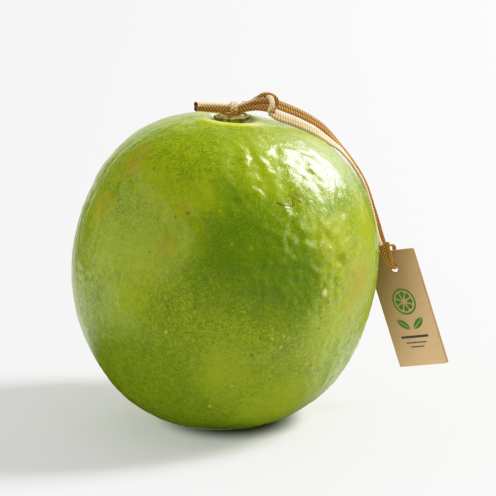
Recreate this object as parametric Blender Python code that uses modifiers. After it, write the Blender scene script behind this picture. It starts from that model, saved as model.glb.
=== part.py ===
# A key lime with its woody stem button, a flat braided cord tied round the stub of
# the stalk, and a kraft card tag that hangs on the cord.
#
# Metres, +Z up. The origin is at the middle of the fruit's underside, on the small flat
# spot that it rests on. The tag hangs on the +X side.

import math

import bmesh
import bpy
from mathutils import Matrix, Vector, noise

MM = 0.001
SHARP_ANGLE = math.radians(40)

# Fruit: its mean radius, and how the radius departs from a ball, in powers of the
# sine of the latitude. The second row is the side swell towards +X.
FRUIT_RADIUS = 24.91 * MM
FRUIT_PROFILE = (0.054, 0.076, -0.044, 0.129, 0.007, -0.180)
FRUIT_SIDE_SWELL = (0.049, 0.040, -0.068, -0.093)
FRUIT_MERIDIANS = 60
FRUIT_PARALLELS = 50
CROWN_RING_CROWDING = 1.22
UNEVEN_HEIGHT = 0.10 * MM
UNEVEN_PER_RADIUS = 2.6
REST_FLAT_DEPTH = 0.45 * MM

# Shallow basin that the stem button sits in.
STEM_X = 1.15 * MM
STEM_Y = 0.8 * MM
BASIN_FLOOR_RADIUS = 3.3 * MM
BASIN_RADIUS = 5.2 * MM
BASIN_DEPTH = 0.8 * MM

# Stem button with the stub of the stalk on it: (radius, height) in millimetres from the
# stub's top, over the ring worn into the disc at 2.25 and round the rim to its underside.
BUTTON_PROFILE = (
    (0.0, 0.77),
    (0.6, 0.75),
    (0.85, 0.65),
    (0.88, 0.38),
    (1.15, 0.33),
    (1.95, 0.35),
    (2.25, 0.23),
    (2.5, 0.43),
    (2.82, 0.45),
    (3.0, 0.31),
    (2.95, 0.08),
    (2.75, 0.0),
    (0.0, 0.0),
)
BUTTON_BOTTOM = 50.2 * MM
BUTTON_STEPS = 36

# Cord: a flat tubular braid.
CORD_WIDTH = 1.5 * MM
CORD_THICKNESS = 0.6 * MM
TAIL_WIDTH = 1.3 * MM
TAIL_THICKNESS = 0.75 * MM
CORD_SIDES = 8
CORD_ROUNDING = 0.7
CORD_RINGS_PER_SPAN = 2

# Tag: a card with a punched hole, placed by the middle of its top edge.
TAG_WIDTH = 10.0 * MM
TAG_HEIGHT = 20.5 * MM
TAG_THICKNESS = 0.45 * MM
TAG_HOLE_RADIUS = 0.8 * MM
TAG_HOLE_DROP = 3.03 * MM
TAG_HOLE_STEPS = 24
TAG_CORNER = 0.25 * MM
TAG_TOP = Vector((27.11, 8.61, 26.01)) * MM
TAG_TURN = tuple(math.radians(angle) for angle in (8.95, -15.19, -39.11))

# Routes of the cord, in millimetres, each point with the angle in degrees by which the
# braid stands up from lying flat on what is under it.
UPPER_ROUTE = (
    (-4.65, 0.0, 52.68, 0),
    (-1.9, 0.0, 52.45, 0),
    (0.7, 0.0, 52.2, 0),
    (2.1, 0.0, 52.2, 0),
    (3.7, 0.0, 52.65, 0),
    (5.15, 0.1, 53.1, 10),
    (6.6, 0.3, 53.0, 30),
    (8.0, 0.9, 52.5, 55),
)
BACK_ROUTE = (
    (7.7, 0.75, 52.6, 56),
    (9.5, 1.8, 51.7, 62),
    (11.2, 2.8, 50.8, 60),
    (13.05, 3.9, 49.7, 56),
    (15.3, 5.3, 48.05, 50),
    (16.9, 6.2, 46.4, 44),
    (18.5, 7.0, 44.4, 36),
    (20.1, 7.7, 42.4, 26),
    (21.55, 8.3, 40.3, 16),
    (22.8, 8.8, 38.0, 8),
    (23.8, 9.15, 35.7, 4),
    (24.4, 9.4, 33.6, 2),
    (24.85, 9.6, 31.4, 0),
    (25.25, 9.5, 29.2, 0),
    (25.8, 9.2, 26.9, 0),
)
LOWER_ROUTE = (
    (-4.7, 0.0, 51.93, 0),
    (-1.9, 0.0, 51.7, 0),
    (0.7, 0.0, 51.5, 0),
    (2.1, 0.0, 51.5, 0),
    (3.7, -0.1, 51.8, 0),
    (5.15, -0.3, 52.05, 10),
    (6.6, -0.4, 52.0, 40),
    (8.0, -0.1, 51.6, 70),
)
FRONT_ROUTE = (
    (7.3, -0.3, 51.9, 70),
    (8.65, 0.2, 51.4, 74),
    (11.2, 1.6, 50.1, 70),
    (14.15, 3.5, 48.1, 58),
    (16.95, 5.3, 45.55, 36),
    (18.65, 6.2, 43.8, 22),
    (20.2, 6.8, 41.85, 12),
    (21.3, 7.1, 40.2, 6),
    (22.5, 7.4, 38.05, 4),
    (23.6, 7.7, 35.5, 4),
    (24.55, 7.9, 33.15, 8),
    (25.3, 8.0, 30.9, 16),
    (26.0, 8.0, 28.85, 26),
    (26.55, 7.9, 27.2, 34),
)

# The knot's two turns round the strands, the same way.
KNOT_MIDDLE = Vector((6.9, 0.2, 52.8)) * MM
KNOT_ARCH_ROUTE = (
    (5.5, 0.75, 52.6, 0),
    (5.35, 0.75, 53.3, 0),
    (5.85, 0.6, 53.95, 0),
    (6.9, 0.4, 54.2, 0),
    (7.9, 0.35, 53.85, 0),
    (8.35, 0.5, 53.05, 0),
    (8.0, 0.7, 52.3, 0),
)
KNOT_BAND_ROUTE = (
    (6.9, 0.2, 53.9, 0),
    (7.3, -0.65, 53.75, 0),
    (7.55, -1.05, 53.05, 0),
    (7.5, -1.05, 52.3, 0),
    (7.2, -0.75, 51.65, 0),
    (6.9, 0.0, 51.5, 0),
)
KNOT_BAND_WIDTH = 0.85 * MM

# Hitch on the tag, in millimetres across, down from the top edge and out from the face.
HITCH_LEFT_ROUTE = (
    (-1.2, -1.5, 0.3),
    (-0.75, -0.3, 0.8),
    (-0.4, 0.8, 0.87),
    (-0.15, 1.8, 0.85),
    (0.0, 2.5, 0.72),
)
HITCH_ROUTE = (
    (0.38, -1.7, 0.62),
    (0.36, -0.6, 0.8),
    (0.35, 0.4, 0.87),
    (0.25, 1.6, 0.87),
    (0.1, 2.5, 0.72),
    (0.0, 2.95, 0.3),
    (0.0, 3.03, 0.0),
    (0.0, 2.95, -0.3),
    (0.05, 2.5, -0.72),
    (0.25, 1.6, -0.87),
    (0.4, 0.6, -0.87),
    (0.5, -0.1, -0.85),
)
HITCH_BIGHT_ROUTE = (
    (0.42, 0.3, -0.87),
    (0.6, -0.4, -0.78),
    (0.75, -0.9, -0.2),
    (0.65, -1.05, 0.4),
    (0.3, -1.1, 0.75),
)
HITCH_WIDTH = 0.9 * MM
HITCH_BIGHT_WIDTH = 0.7 * MM
HITCH_THICKNESS = 0.5 * MM

# Band that binds the two strands over the stub, and the turn under it round the stub.
WRAP_X = 1.45 * MM
WRAP_MIDDLE_Z = 51.97 * MM
WRAP_HALF_DEPTH = 0.9 * MM
WRAP_HALF_HEIGHT = 0.72 * MM
WRAP_WIDTH = 1.15 * MM
WRAP_THICKNESS = 0.45 * MM
STUB_TURN_RADIUS = 1.45 * MM
STUB_TURN_Z = 51.08 * MM
STUB_TURN_WIDTH = 0.6 * MM
STUB_TURN_THICKNESS = 0.55 * MM
TURN_POINTS = 20

LIME_GREEN = (0.19, 0.34, 0.02)
STEM_BROWN = (0.33, 0.27, 0.12)
CORD_TAN = (0.55, 0.33, 0.12)
KRAFT_BROWN = (0.45, 0.28, 0.11)


def clear_scene():
    for old in list(bpy.data.objects):
        bpy.data.objects.remove(old)


def new_collection(name, visible=True):
    collection = bpy.data.collections.new(name)
    bpy.context.scene.collection.children.link(collection)
    collection.hide_render = not visible
    return collection


def material(name, colour, roughness):
    made = bpy.data.materials.new(name)
    made.use_nodes = True
    surface = made.node_tree.nodes["Principled BSDF"]
    surface.inputs["Base Color"].default_value = (*colour, 1)
    surface.inputs["Roughness"].default_value = roughness
    surface.inputs["Metallic"].default_value = 0
    return made


def shade(bm):
    """Smooth shading, but for end faces, the rest flat and the sharp edges."""
    for face in bm.faces:
        face.smooth = len(face.verts) <= 4
    for edge in bm.edges:
        all_smooth = all(face.smooth for face in edge.link_faces)
        edge.smooth = all_smooth and edge.calc_face_angle(0) < SHARP_ANGLE


def object_from(name, bm, collection, surface):
    shade(bm)
    mesh = bpy.data.meshes.new(name)
    bm.to_mesh(mesh)
    bm.free()
    mesh.materials.append(surface)
    made = bpy.data.objects.new(name, mesh)
    collection.objects.link(made)
    return made


def series(terms, sine):
    return sum(term * sine ** (power + 1) for power, term in enumerate(terms))


def fruit_radius(sine, cosine, azimuth):
    side = math.cos(azimuth) * cosine * series(FRUIT_SIDE_SWELL, sine)
    return FRUIT_RADIUS * (1 + series(FRUIT_PROFILE, sine) + side)


def smooth_step(value):
    value = min(max(value, 0), 1)
    return value * value * (3 - 2 * value)


def shape_fruit_point(direction):
    """The point of the skin in this direction from the fruit's middle."""
    colatitude = math.acos(max(-1, min(1, direction.z)))
    colatitude = math.pi * (colatitude / math.pi) ** CROWN_RING_CROWDING
    azimuth = math.atan2(direction.y, direction.x)
    sine, cosine = math.cos(colatitude), math.sin(colatitude)
    facing = Vector((cosine * math.cos(azimuth), cosine * math.sin(azimuth), sine))
    radius = fruit_radius(sine, cosine, azimuth)
    radius += UNEVEN_HEIGHT * noise.noise(facing * UNEVEN_PER_RADIUS)
    point = facing * radius
    if sine > 0:
        from_stem = math.hypot(point.x - STEM_X, point.y - STEM_Y)
        inside = (BASIN_RADIUS - from_stem) / (BASIN_RADIUS - BASIN_FLOOR_RADIUS)
        point.z -= BASIN_DEPTH * smooth_step(inside)
    return point


def cut_rest_flat(bm, height):
    """Cuts the fruit level at this height and closes the cut with one flat face."""
    everything = bm.verts[:] + bm.edges[:] + bm.faces[:]
    cut = bmesh.ops.bisect_plane(
        bm,
        geom=everything,
        dist=1e-7,
        plane_co=(0, 0, height),
        plane_no=(0, 0, 1),
        clear_inner=True,
    )
    rim = [item for item in cut["geom_cut"] if isinstance(item, bmesh.types.BMEdge)]
    bmesh.ops.edgenet_fill(bm, edges=rim)


def make_fruit(collection):
    bm = bmesh.new()
    bmesh.ops.create_uvsphere(
        bm, u_segments=FRUIT_MERIDIANS, v_segments=FRUIT_PARALLELS, radius=1
    )
    for vertex in bm.verts:
        vertex.co = shape_fruit_point(vertex.co.normalized())
    lowest = min(vertex.co.z for vertex in bm.verts)
    cut_rest_flat(bm, lowest + REST_FLAT_DEPTH)
    sides = [[vertex.co[axis] for vertex in bm.verts] for axis in range(3)]
    middle = Vector((min(sides[0]) + max(sides[0]), min(sides[1]) + max(sides[1]), 0)) / 2
    middle.z = min(sides[2])
    bmesh.ops.translate(bm, verts=bm.verts, vec=-middle)
    bmesh.ops.recalc_face_normals(bm, faces=bm.faces)
    skin = material("lime_skin", LIME_GREEN, 0.35)
    return object_from("fruit", bm, collection, skin)


def screw_object(name, profile, steps, collection, surface):
    """A turned body from (radius, height) points that run top to bottom."""
    mesh = bpy.data.meshes.new(name)
    edges = [(index, index + 1) for index in range(len(profile) - 1)]
    mesh.from_pydata([(radius, 0, height) for radius, height in profile], edges, [])
    made = bpy.data.objects.new(name, mesh)
    collection.objects.link(made)
    screw = made.modifiers.new("turn", "SCREW")
    screw.steps = steps
    screw.render_steps = steps
    screw.use_merge_vertices = True
    screw.merge_threshold = 0.00001
    screw.use_smooth_shade = True
    mesh.materials.append(surface)
    return made


def make_stem_button(collection):
    """The woody disc left of the calyx, with a ring worn into it and the stalk's stub."""
    profile = [(radius * MM, height * MM) for radius, height in BUTTON_PROFILE]
    wood = material("stem_wood", STEM_BROWN, 0.8)
    made = screw_object("stem_button", profile, BUTTON_STEPS, collection, wood)
    made.location = (STEM_X, STEM_Y, BUTTON_BOTTOM)
    return made


def smooth_route(points, spans, closed=False):
    """Points on a Catmull-Rom curve through these, with this many to a span."""
    points = [Vector(point) for point in points]
    count = len(points)
    if closed:
        around = [points[(index - 1) % count] for index in range(count + 3)]
    else:
        first = points[0] * 2 - points[1]
        last = points[-1] * 2 - points[-2]
        around = [first, *points, last]
    route = []
    for a, b, c, d in zip(around, around[1:], around[2:], around[3:]):
        for step in range(spans):
            t = step / spans
            bend = a * (-t + 2 * t**2 - t**3) + b * (2 - 5 * t**2 + 3 * t**3)
            bend += c * (t + 4 * t**2 - 3 * t**3) + d * (-(t**2) + t**3)
            route.append(bend / 2)
    if not closed:
        route.append(points[-1])
    return route


def braid_section(across, out, width, thickness):
    """Corners of the flat braid's rounded section, round its middle."""
    corners = []
    for index in range(CORD_SIDES):
        angle = 2 * math.pi * (index + 0.5) / CORD_SIDES
        side, up = math.cos(angle), math.sin(angle)
        side = math.copysign(abs(side) ** CORD_ROUNDING, side)
        up = math.copysign(abs(up) ** CORD_ROUNDING, up)
        corners.append(across * (side * width / 2) + out * (up * thickness / 2))
    return corners


def loft_braid(name, route, outward, width, thickness, collection, surface, closed=False):
    """A flat braid along (point, stand angle) pairs. A loft, because it turns as it goes.

    outward gives the way that a flat-lying braid's face looks at a point, or is the way
    that it looks at the start, from where it follows the bends.
    """
    bm = bmesh.new()
    count = len(route)
    rings = []
    out = outward
    for index, (place, stand) in enumerate(route):
        ahead = route[(index + 1) % count][0] if closed or index + 1 < count else place
        behind = route[index - 1][0] if closed or index else place
        along = (ahead - behind).normalized()
        if callable(outward):
            out = outward(place)
        out = (out - along * out.dot(along)).normalized()
        face = Matrix.Rotation(stand, 3, along) @ out
        corners = braid_section(along.cross(face), face, width, thickness)
        rings.append([bm.verts.new(place + corner) for corner in corners])
    for index in range(count if closed else count - 1):
        near, far = rings[index], rings[(index + 1) % count]
        for side in range(CORD_SIDES):
            following = (side + 1) % CORD_SIDES
            bm.faces.new((near[side], near[following], far[following], far[side]))
    if not closed:
        bm.faces.new(rings[0])
        bm.faces.new(rings[-1])
    bmesh.ops.recalc_face_normals(bm, faces=bm.faces)
    return object_from(name, bm, collection, surface)


def routed(rows, closed=False):
    """(point, stand angle) pairs from millimetre rows, on a smooth curve."""
    places = smooth_route([row[:3] for row in rows], CORD_RINGS_PER_SPAN, closed)
    stands = smooth_route([(row[3], 0, 0) for row in rows], CORD_RINGS_PER_SPAN, closed)
    return [
        (place * MM, math.radians(stand.x)) for place, stand in zip(places, stands)
    ]


def tag_matrix():
    turn = Matrix.Rotation(TAG_TURN[2], 4, "Z")
    turn @= Matrix.Rotation(TAG_TURN[1], 4, "Y")
    turn @= Matrix.Rotation(TAG_TURN[0], 4, "X")
    return Matrix.Translation(TAG_TOP) @ turn


def on_tag(across, down, out):
    """A place given on the tag, in millimetres, in the object's frame."""
    return tag_matrix() @ Vector((across * MM, -out * MM, -down * MM))


def away_from(middle):
    """Gives the way from this middle to a place, for braids that wrap round it."""
    return lambda place: place - middle


def ring_route(middle, axis, half_a, half_b):
    """A closed turn in the plane across this axis."""
    route = []
    for index in range(TURN_POINTS):
        angle = 2 * math.pi * index / TURN_POINTS
        a, b = half_a * math.cos(angle), half_b * math.sin(angle)
        offset = Vector((0, a, b)) if axis == "X" else Vector((a, b, 0))
        route.append((middle + offset, 0))
    return route


def hitch_lofts(piece):
    """The lark's head on the tag: down its face, through the hole and back over its edge."""
    front = tag_matrix().to_3x3() @ Vector((0, -1, 0))
    parts = (
        ("hitch", HITCH_ROUTE, front, HITCH_WIDTH),
        ("hitch_left", HITCH_LEFT_ROUTE, front, HITCH_WIDTH),
        ("hitch_bight", HITCH_BIGHT_ROUTE, -front, HITCH_BIGHT_WIDTH),
    )
    lofts = []
    for name, rows, facing, width in parts:
        places = [on_tag(*row) for row in rows]
        route = [(place, 0) for place in smooth_route(places, CORD_RINGS_PER_SPAN)]
        lofts.append(piece(name, route, facing, width, HITCH_THICKNESS))
    return lofts


def tie_lofts(piece):
    """The band round both tails over the stub, and the turn round the stub itself."""
    tie_middle = Vector((WRAP_X, 0, WRAP_MIDDLE_Z))
    wrap = ring_route(tie_middle, "X", WRAP_HALF_DEPTH, WRAP_HALF_HEIGHT)
    stub_middle = Vector((STEM_X, STEM_Y, STUB_TURN_Z))
    turn = ring_route(stub_middle, "Z", STUB_TURN_RADIUS, STUB_TURN_RADIUS)
    return [
        piece("wrap", wrap, away_from(tie_middle), WRAP_WIDTH, WRAP_THICKNESS, True),
        piece(
            "stub_turn",
            turn,
            away_from(stub_middle),
            STUB_TURN_WIDTH,
            STUB_TURN_THICKNESS,
            True,
        ),
    ]


def make_cord(collection, cutters):
    """The whole cord, from its two cut tails to the hitch on the tag, in one solid."""
    braid = material("braid_cord", CORD_TAN, 0.75)
    off_fruit = away_from(Vector((0, 0, FRUIT_RADIUS)))
    off_knot = away_from(KNOT_MIDDLE)

    def piece(name, route, outward, width, thickness, closed=False):
        return loft_braid(
            name, route, outward, width, thickness, cutters, braid, closed
        )

    arch = routed(KNOT_ARCH_ROUTE)
    band = routed(KNOT_BAND_ROUTE)
    pieces = [
        piece("upper", routed(UPPER_ROUTE), off_fruit, TAIL_WIDTH, TAIL_THICKNESS),
        piece("lower", routed(LOWER_ROUTE), off_fruit, TAIL_WIDTH, TAIL_THICKNESS),
        piece("back", routed(BACK_ROUTE), off_fruit, CORD_WIDTH, CORD_THICKNESS),
        piece("front", routed(FRONT_ROUTE), off_fruit, CORD_WIDTH, CORD_THICKNESS),
        piece("arch", arch, off_knot, CORD_WIDTH, CORD_THICKNESS),
        piece("band", band, off_knot, KNOT_BAND_WIDTH, CORD_THICKNESS),
    ]
    pieces += hitch_lofts(piece) + tie_lofts(piece)
    cord = pieces[0]
    cord.name = "cord"
    cutters.objects.unlink(cord)
    collection.objects.link(cord)
    for other in pieces[1:]:
        other.hide_render = True
        other.display_type = "WIRE"
        union = cord.modifiers.new(other.name, "BOOLEAN")
        union.operation = "UNION"
        union.solver = "EXACT"
        union.object = other
    return cord


def tag_outline():
    """Corners of the card, each cut back a little, as a punched card's are."""
    half = TAG_WIDTH / 2
    corners = ((-half, 0), (half, 0), (half, -TAG_HEIGHT), (-half, -TAG_HEIGHT))
    inwards = ((1, -1), (-1, -1), (-1, 1), (1, 1))
    outline = []
    for index, ((x, y), (dx, dy)) in enumerate(zip(corners, inwards)):
        down_side = (x, y + dy * TAG_CORNER)
        along_side = (x + dx * TAG_CORNER, y)
        outline += [down_side, along_side] if index % 2 == 0 else [along_side, down_side]
    return outline


def tag_hole():
    step = 2 * math.pi / TAG_HOLE_STEPS
    return [
        (
            TAG_HOLE_RADIUS * math.cos(index * step),
            TAG_HOLE_RADIUS * math.sin(index * step) - TAG_HOLE_DROP,
        )
        for index in range(TAG_HOLE_STEPS)
    ]


def make_tag(collection):
    curve = bpy.data.curves.new("tag", "CURVE")
    curve.dimensions = "2D"
    curve.fill_mode = "BOTH"
    curve.extrude = TAG_THICKNESS / 2
    for outline in (tag_outline(), tag_hole()):
        spline = curve.splines.new("POLY")
        spline.points.add(len(outline) - 1)
        for point, (x, y) in zip(spline.points, outline):
            point.co = (x, y, 0, 1)
        spline.use_cyclic_u = True
    curve.materials.append(material("kraft_card", KRAFT_BROWN, 0.85))
    made = bpy.data.objects.new("tag", curve)
    collection.objects.link(made)
    upright = Matrix.Rotation(math.radians(90), 4, "X")
    made.matrix_world = tag_matrix() @ upright
    return made


def main():
    clear_scene()
    parts = new_collection("key_lime")
    cutters = new_collection("cord_strands", visible=False)
    make_fruit(parts)
    make_stem_button(parts)
    make_cord(parts, cutters)
    make_tag(parts)


main()
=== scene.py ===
"""A key lime with a braided cord tied at its stem and a kraft tag on the cord.

Metres, +Z up. The fruit rests on z = 0 with its stem end up, and the tag hangs on the
+X side. The photograph is 496 x 496 pixels and looks along +Y.
"""

import math

import bpy
import numpy as np
from mathutils import Matrix, Vector, noise


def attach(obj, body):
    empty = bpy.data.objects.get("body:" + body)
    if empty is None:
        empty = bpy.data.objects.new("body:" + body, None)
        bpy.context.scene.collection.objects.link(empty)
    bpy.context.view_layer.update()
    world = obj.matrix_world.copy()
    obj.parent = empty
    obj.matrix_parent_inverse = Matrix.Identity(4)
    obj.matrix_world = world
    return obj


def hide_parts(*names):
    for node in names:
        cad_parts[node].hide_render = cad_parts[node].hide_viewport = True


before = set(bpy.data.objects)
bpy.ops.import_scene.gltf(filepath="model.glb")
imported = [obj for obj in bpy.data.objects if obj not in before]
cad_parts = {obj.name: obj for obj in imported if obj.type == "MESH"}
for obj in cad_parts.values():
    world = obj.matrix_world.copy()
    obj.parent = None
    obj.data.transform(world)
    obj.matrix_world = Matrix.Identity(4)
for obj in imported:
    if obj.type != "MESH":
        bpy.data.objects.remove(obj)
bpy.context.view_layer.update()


# The fruit. One natural piece, nearly a ball, grown with a thin waxy rind that is full of
# oil glands. Shallow furrows run down from the stem, and it rests on a small blunt spot.
MM = 0.001
FRUIT_RADIUS = 24.91 * MM
FRUIT_PROFILE = (0.054, 0.076, -0.044, 0.129, 0.007, -0.180)
FRUIT_SIDE_SWELL = (0.049, 0.040, -0.068, -0.093)
REST_FLAT_DEPTH = 0.45 * MM
STEM_X = 1.15 * MM
STEM_Y = 0.8 * MM
BASIN_FLOOR_RADIUS = 3.0 * MM
BASIN_RADIUS = 4.6 * MM
BASIN_DEPTH = 0.8 * MM
UNEVEN_HEIGHT = 0.10 * MM
WAVE_HEIGHT = 0.135 * MM
RIPPLE_HEIGHT = 0.125 * MM
FURROW_HEIGHT = 0.14 * MM
RIND_SETTLE = 0.06 * MM
CALM = 0.42
RIND_CUTS = 10
# Where the rind is wavy: azimuth, latitude and reach in degrees, then strength.
ROUGH_PATCHES = (
    (-74.0, 56.0, 12.0, 1.5), (-76.0, 43.0, 12.0, 1.7), (-46.0, 17.0, 14.0, 2.2),
    (-42.0, 49.0, 10.0, 0.9), (-63.0, 27.0, 11.0, 2.4), (-66.0, 12.0, 12.0, 1.8),
    (-46.0, 2.0, 11.0, 1.3), (-100.0, 33.0, 13.0, 1.6), (-138.0, 40.0, 15.0, 0.8),
    (-142.0, 12.0, 17.0, 0.9), (-95.0, 3.0, 14.0, 0.6), (-45.0, -30.0, 16.0, 0.8),
    (-20.0, -30.0, 20.0, 0.5), (30.0, 20.0, 30.0, 0.7), (110.0, 10.0, 34.0, 0.7),
    (60.0, -25.0, 24.0, 0.6), (170.0, 30.0, 22.0, 0.7),
)
# Where the furrows reach below the fruit's middle: azimuth, latitude and reach in degrees.
LOW_FURROWS = (-20.0, -28.0, 42.0)
# Marks on the rind, each by its azimuth and latitude in degrees, then its radius in mm.
DARK_DOTS = (
    (-128.5, 50.1, 0.32), (-125.0, 37.3, 0.24), (-128.6, 35.3, 0.22), (-109.7, 34.0, 0.28),
    (-104.5, 35.5, 0.42), (-118.4, 21.0, 0.26), (-142.8, 23.9, 0.20), (-110.0, 2.7, 0.30),
    (-99.7, 2.7, 0.32), (-79.1, -15.9, 0.40), (-79.1, -1.7, 0.26), (-77.2, -34.7, 0.30),
    (-54.8, -1.6, 0.26), (-52.4, -8.4, 0.28),
)
TAN_SPECKS = (
    (-71.9, -6.2, 0.30), (-71.7, -9.8, 0.42), (-67.1, -9.2, 0.30), (-65.5, -10.0, 0.30),
    (-68.0, -13.6, 0.40), (-111.0, -7.2, 0.35), (-86.5, -29.7, 0.30), (-96.4, -40.2, 0.45),
    (-58.6, -38.3, 0.30), (-54.5, -23.0, 0.35), (-51.5, -25.6, 0.40),
)
BROWN_BLUSHES = (
    (-111.7, 24.7, 2.6), (-54.2, -22.4, 1.3), (-30.0, 4.5, 5.5), (-36.5, -2.0, 3.0),
    (-103.4, 38.6, 2.2), (-145.9, 51.2, 5.0), (-149.2, 32.9, 3.8),
)
YELLOW_ZONES = (
    (-31.1, 9.1, 11.0), (-37.1, -0.7, 9.0), (-42.3, 18.5, 8.0), (-153.0, 30.0, 4.5),
    (-21.0, 21.0, 7.0),
)
# Deeper green skin, and painted shade: the dark middle facing the camera and low on the
# underside.
DEEP_AND_SHADED_ZONES = (
    (-83.5, 30.5, 11.0), (-87.5, 21.0, 11.0), (-75.0, 20.0, 12.0), (-63.0, 16.0, 9.5),
    (-74.0, 10.0, 8.0), (-88.0, 42.0, 6.0), (-88.0, -66.0, 9.0),
)
# Painted shade, mostly on the fruit's lower side, where less light falls.
PAINTED_SHADE_ZONES = (
    (-130.0, -22.0, 17.0), (-112.0, -36.0, 18.0), (-90.0, -52.0, 12.0), (-62.0, 2.0, 6.0),
)
# Paler skin, and painted light: the glow beside the highlight and a painted reflection near the
# top.
PALE_AND_LIT_ZONES = (
    (-106.0, 26.0, 6.0), (-118.5, 39.0, 7.0), (-127.5, 45.4, 6.0), (-139.0, 18.0, 9.0),
    (-121.0, 20.0, 10.0), (-128.0, 3.0, 8.0), (-100.5, 40.5, 6.0), (-60.0, -40.0, 12.0),
    (-48.0, -14.0, 9.0), (-51.0, 27.0, 5.0), (-90.0, -24.0, 9.0), (-20.0, 24.0, 8.0),
    (-40.0, 25.0, 5.0), (8.0, 62.0, 6.0), (-65.0, 60.0, 8.0), (-69.4, 52.0, 6.5),
    (-66.0, 45.0, 4.5), (-108.4, 37.0, 5.5), (-114.0, 35.2, 5.0),
)
# The healed scar's lines and the scab, by azimuth and latitude in degrees.
SCAR = ((-66.5, 38.0), (-65.1, 37.3), (-63.0, 36.7), (-61.1, 36.7), (-59.1, 36.9), (-59.3, 38.5))
SCAR_PATCH = ((-56.6, 40.6), (-55.4, 39.4), (-53.8, 38.6))
SCAR_LINE = ((-53.7, 42.8), (-53.7, 41.5), (-53.4, 40.2))
SCAR_LIP = ((-58.0, 39.5), (-56.3, 38.7), (-55.1, 37.5))
SCAR_ARCH = ((-65.2, 33.8), (-64.0, 35.1), (-62.4, 35.0), (-62.0, 33.4))
SCAB = (-51.3, 5.0)


def directions(pairs):
    """Unit vectors out of the fruit's middle from (azimuth, latitude) pairs in degrees."""
    azimuth, latitude = np.radians(np.array(pairs, float)).T
    level = np.cos(latitude)
    parts = (level * np.cos(azimuth), level * np.sin(azimuth), np.sin(latitude))
    return np.stack(parts, axis=1)


def eased(value):
    value = np.clip(value, 0, 1)
    return value * value * (3 - 2 * value)


def noise_of(places):
    return np.array([noise.noise(Vector(place)) for place in places])


def outline_points(facing):
    """Where the fruit's plain outline lies in these directions from its middle."""
    sine = facing[:, 2]
    profile = sum(term * sine ** (power + 1) for power, term in enumerate(FRUIT_PROFILE))
    swell = sum(term * sine ** (power + 1) for power, term in enumerate(FRUIT_SIDE_SWELL))
    return facing * (FRUIT_RADIUS * (1 + profile + facing[:, 0] * swell))[:, None]


def rind_points(facing):
    """The outline with the rind's waves and furrows, and with the basin round the stem."""
    plain = outline_points(facing)
    rough = np.full(len(facing), CALM)
    for azimuth, latitude, reach, strength in ROUGH_PATCHES:
        toward = directions([(azimuth, latitude)])[0]
        away = np.degrees(np.arccos(np.clip(facing @ toward, -1, 1)))
        rough = np.maximum(rough, CALM + strength * np.exp(-((away / reach) ** 2)))
    height = UNEVEN_HEIGHT * noise_of(facing * 2.6) - RIND_SETTLE
    height += WAVE_HEIGHT * rough * noise_of(facing * 8.5 + 7.0)
    height += RIPPLE_HEIGHT * rough * noise_of(facing * 21.0 - 3.0)
    level = np.maximum(np.hypot(facing[:, 0], facing[:, 1]), 1e-6)
    round_stem = np.stack((facing[:, 0], facing[:, 1], facing[:, 2] * 0.35), axis=1)
    round_stem[:, :2] *= (7.5 / level)[:, None]
    below_stem = eased((facing[:, 2] - 0.05) / 0.5) * eased(level / 0.5)
    streaked = facing @ directions([LOW_FURROWS[:2]])[0]
    streaked = eased((streaked - math.cos(math.radians(LOW_FURROWS[2]))) / 0.2)
    below_stem = np.maximum(below_stem, streaked)
    height += FURROW_HEIGHT * rough * below_stem * noise_of(round_stem)
    points = plain + facing * height[:, None]
    from_stem = np.hypot(points[:, 0] - STEM_X, points[:, 1] - STEM_Y)
    inside = (BASIN_RADIUS - from_stem) / (BASIN_RADIUS - BASIN_FLOOR_RADIUS)
    points[:, 2] -= np.where(facing[:, 2] > 0, BASIN_DEPTH * eased(inside), 0)
    return points


bpy.ops.object.select_all(action="DESELECT")
bpy.ops.mesh.primitive_cube_add(size=2)
rind = bpy.context.object
rind.name = "lime_rind"
bpy.ops.object.mode_set(mode="EDIT")
bpy.ops.mesh.select_all(action="SELECT")
bpy.ops.mesh.subdivide(number_cuts=RIND_CUTS)
bpy.ops.mesh.subdivide(number_cuts=RIND_CUTS)
bpy.ops.object.mode_set(mode="OBJECT")
corners = np.array([vertex.co for vertex in rind.data.vertices])
facing = np.tan(corners * math.pi / 4)
facing /= np.linalg.norm(facing, axis=1)[:, None]
grown = rind_points(facing)
fruit_middle = (grown.min(axis=0) + grown.max(axis=0)) / 2
fruit_middle[2] = grown[:, 2].min() + REST_FLAT_DEPTH
grown -= fruit_middle
grown[:, 2] = np.maximum(grown[:, 2], 0)
rind.data.vertices.foreach_set("co", grown.ravel())
rind.data.update()
bpy.ops.object.shade_smooth()


def on_rind(azimuth, latitude):
    """The place on the finished fruit that lies in this direction from its middle."""
    place = rind_points(directions([(azimuth, latitude)]))[0]
    return Vector(place - fruit_middle)


def new_material(name, roughness):
    """A material with its node tree and its shader."""
    made = bpy.data.materials.new(name)
    made.use_nodes = True
    shader = made.node_tree.nodes["Principled BSDF"]
    shader.inputs["Roughness"].default_value = roughness
    return made, made.node_tree, shader


def feed(tree, socket, given):
    """Gives an input a number, a vector or colour, or another node's output."""
    if isinstance(given, bpy.types.NodeSocket):
        tree.links.new(given, socket)
    else:
        socket.default_value = given


def sum_of(tree, operation, *given):
    """One step of arithmetic."""
    node = tree.nodes.new("ShaderNodeMath")
    node.operation = operation
    for socket, value in zip(node.inputs, given):
        feed(tree, socket, value)
    return node.outputs[0]


def vector_of(tree, operation, *given, output=0):
    """One step of vector arithmetic."""
    node = tree.nodes.new("ShaderNodeVectorMath")
    node.operation = operation
    for socket, value in zip(node.inputs, given):
        feed(tree, socket, value)
    return node.outputs[output]


def object_place(tree):
    return tree.nodes.new("ShaderNodeTexCoord").outputs["Object"]


def parts_of(tree, place):
    """The X, Y and Z of a place."""
    node = tree.nodes.new("ShaderNodeSeparateXYZ")
    feed(tree, node.inputs[0], place)
    return node.outputs


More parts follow.
